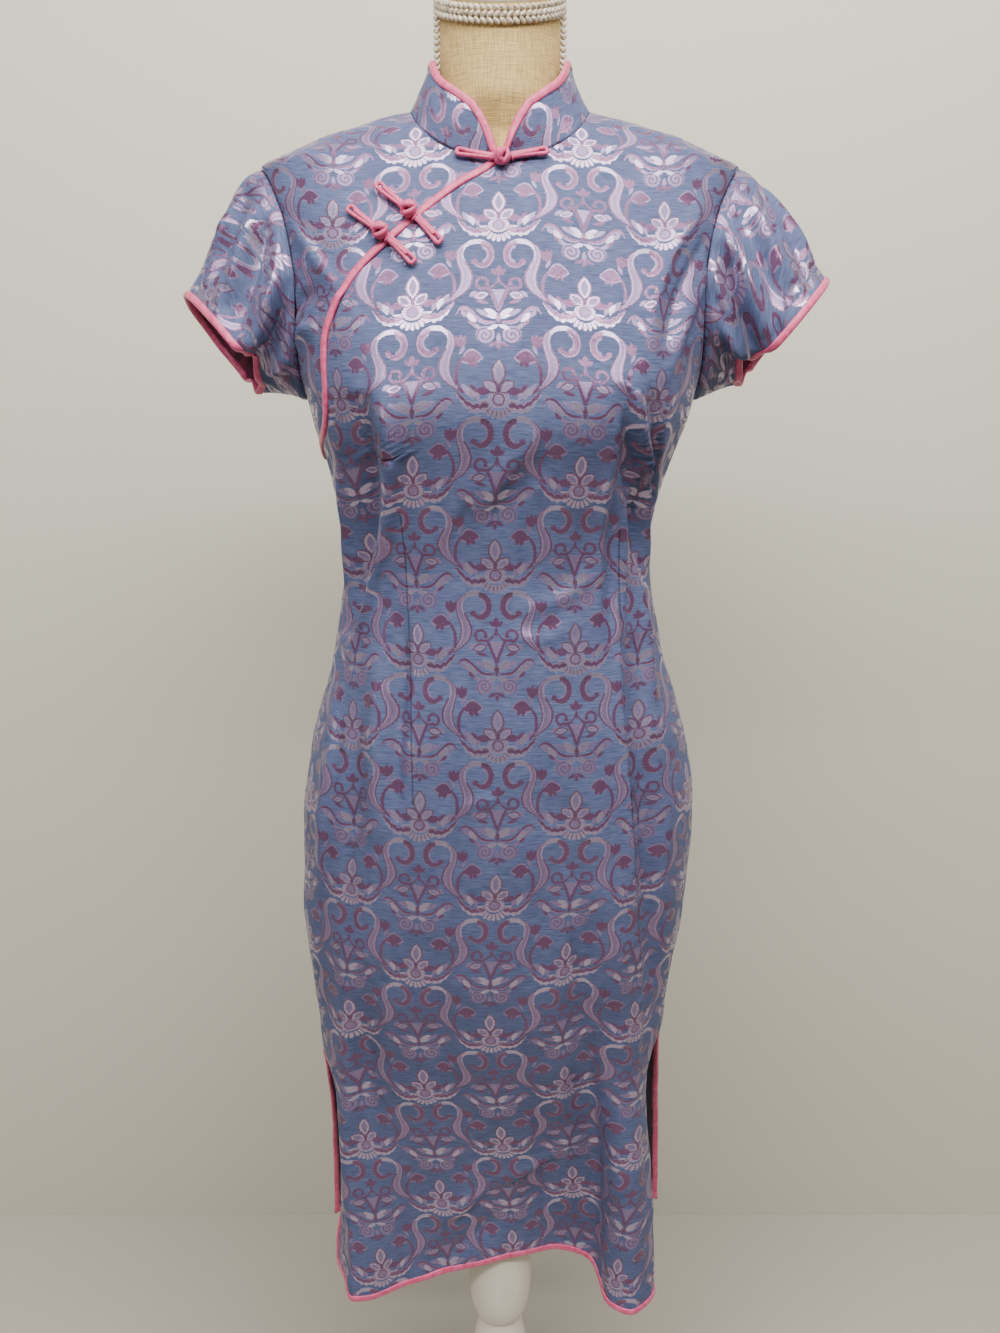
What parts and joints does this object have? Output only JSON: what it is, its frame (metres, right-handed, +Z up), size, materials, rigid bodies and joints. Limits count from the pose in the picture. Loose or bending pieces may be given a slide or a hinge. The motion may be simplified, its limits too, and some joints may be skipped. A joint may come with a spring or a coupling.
{
  "type": "cheongsam dress on a dress form",
  "caption": "Knee-length brocade cheongsam with stand collar, cap sleeves, crossover front with knotted frogs and side slits, worn by a linen dress form on a turned pole and round base.",
  "frame": {"origin": "on the floor at the middle of the base, under the form's pole", "axes": "+Z up, the front of the dress faces -Y, +X is the wearer's left"},
  "size_m": [0.543, 0.35, 1.508],
  "materials": {
    "brocade": "blue jacquard with a satin figure in lilac and burgundy, wine-coloured on the inside",
    "pink_satin": "shiny rose-pink satin",
    "linen": "plain-woven natural linen, tight over the form",
    "cream_paint": "turned wood painted cream, slightly worn",
    "silver_cord": "twisted pale cord"
  },
  "bodies": {
    "root": {"back_hem_edging": "pink_satin", "back_panel": "brocade", "collar": "brocade", "collar_edging": "pink_satin", "crossover_edging": "pink_satin", "form_torso": "linen", "frog_collar_bar_left": "pink_satin", "frog_collar_bar_right": "pink_satin", "frog_collar_knot": "pink_satin", "frog_lower_bar_left": "pink_satin", "frog_lower_bar_right": "pink_satin", "frog_lower_knot": "pink_satin", "frog_upper_bar_left": "pink_satin", "frog_upper_bar_right": "pink_satin", "frog_upper_knot": "pink_satin", "front_hem_edging": "pink_satin", "front_panel": "brocade", "neck_braid_left": "silver_cord", "neck_braid_right": "silver_cord", "neck_cap": "cream_paint", "neck_rope": "silver_cord", "sleeve_edging_left": "pink_satin", "sleeve_edging_right": "pink_satin", "sleeve_left": "brocade", "sleeve_right": "brocade", "stand_base": "cream_paint", "stand_bulb": "cream_paint", "stand_column": "cream_paint", "stand_shaft": "cream_paint", "underlap_panel": "brocade"}
  },
  "joints": []
}
